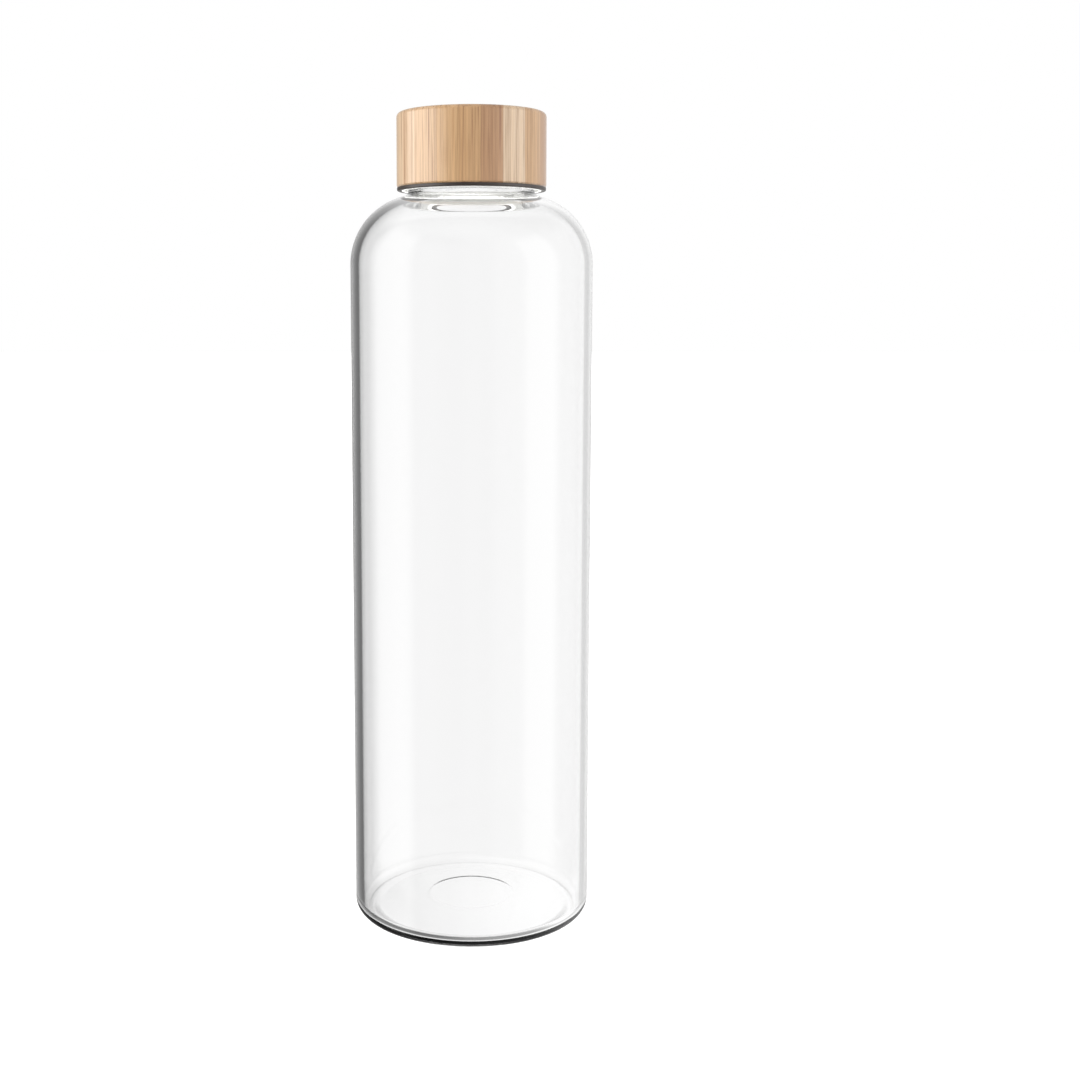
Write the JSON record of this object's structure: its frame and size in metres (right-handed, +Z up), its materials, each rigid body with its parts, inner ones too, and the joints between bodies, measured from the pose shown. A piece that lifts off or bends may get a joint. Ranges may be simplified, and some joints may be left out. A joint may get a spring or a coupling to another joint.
{
  "type": "glass water bottle",
  "caption": "Tall cylindrical clear glass water bottle with a round shoulder, a short threaded neck and a bamboo screw cap with a plastic threaded insert, a dark trim ring and a silicone seal.",
  "frame": {"origin": "centre of the foot, on the surface that the bottle stands on", "axes": "+Z up along the bottle's axis, towards the cap"},
  "size_m": [0.08, 0.08, 0.269],
  "materials": {
    "clear_glass": "clear, smooth, fire-polished",
    "bamboo": "fine vertical strip grain, satin lacquer",
    "insert_plastic": "milky white, satin",
    "trim_plastic": "dark brown, satin",
    "seal_silicone": "translucent white, matte"
  },
  "bodies": {
    "bottle": {"glass_bottle": "clear_glass"},
    "seal": {"silicone_seal": "seal_silicone"},
    "cap": {"thread_insert": "insert_plastic", "trim_ring": "trim_plastic", "bamboo_cap": "bamboo"}
  },
  "joints": [
    {"name": "lid_lift", "type": "slide", "parent": "bottle", "child": "seal", "axis": [0, 0, 1], "range_m": [0, 0.028]},
    {"name": "lid_turn", "type": "hinge", "parent": "seal", "child": "cap", "pos_m": [0, 0, 0.25], "axis": [0, 0, 1], "range_deg": [0, 2520]}
  ],
  "couplings": [
    {"joint": "lid_lift", "follows": "lid_turn", "m_per_rad": 0.0006366}
  ]
}
